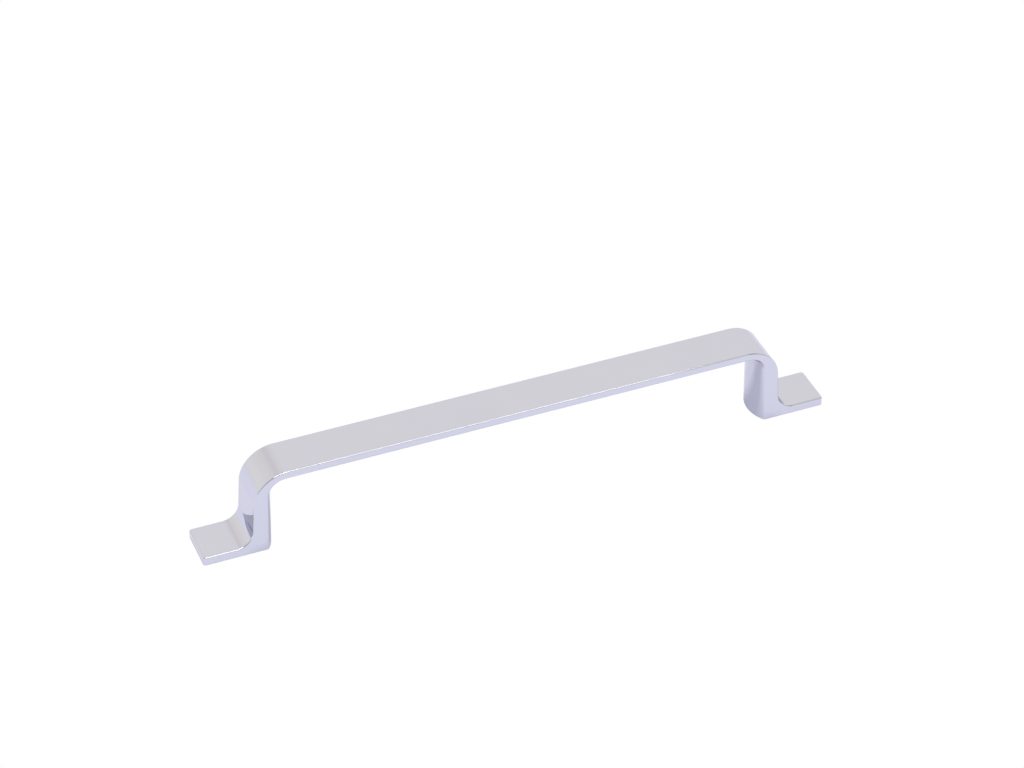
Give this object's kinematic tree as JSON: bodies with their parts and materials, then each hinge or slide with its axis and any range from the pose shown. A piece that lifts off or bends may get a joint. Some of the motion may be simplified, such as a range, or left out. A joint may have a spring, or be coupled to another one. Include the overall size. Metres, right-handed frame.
{
  "type": "strap handle",
  "caption": "Polished chrome strap handle for a cabinet door or drawer: flat strap, D-section legs, outward feet and blind tapped screw holes in the base.",
  "frame": {"origin": "centre of the base plane that meets the door, midway between the screw holes", "axes": "+X along the strap, +Y across the strap's width, +Z out of the door towards the strap"},
  "size_m": [0.1984, 0.014, 0.0272],
  "materials": {
    "chrome_plate": "mirror-polished chrome plate on cast zinc"
  },
  "bodies": {
    "root": {"strap_handle": "chrome_plate"}
  },
  "joints": []
}
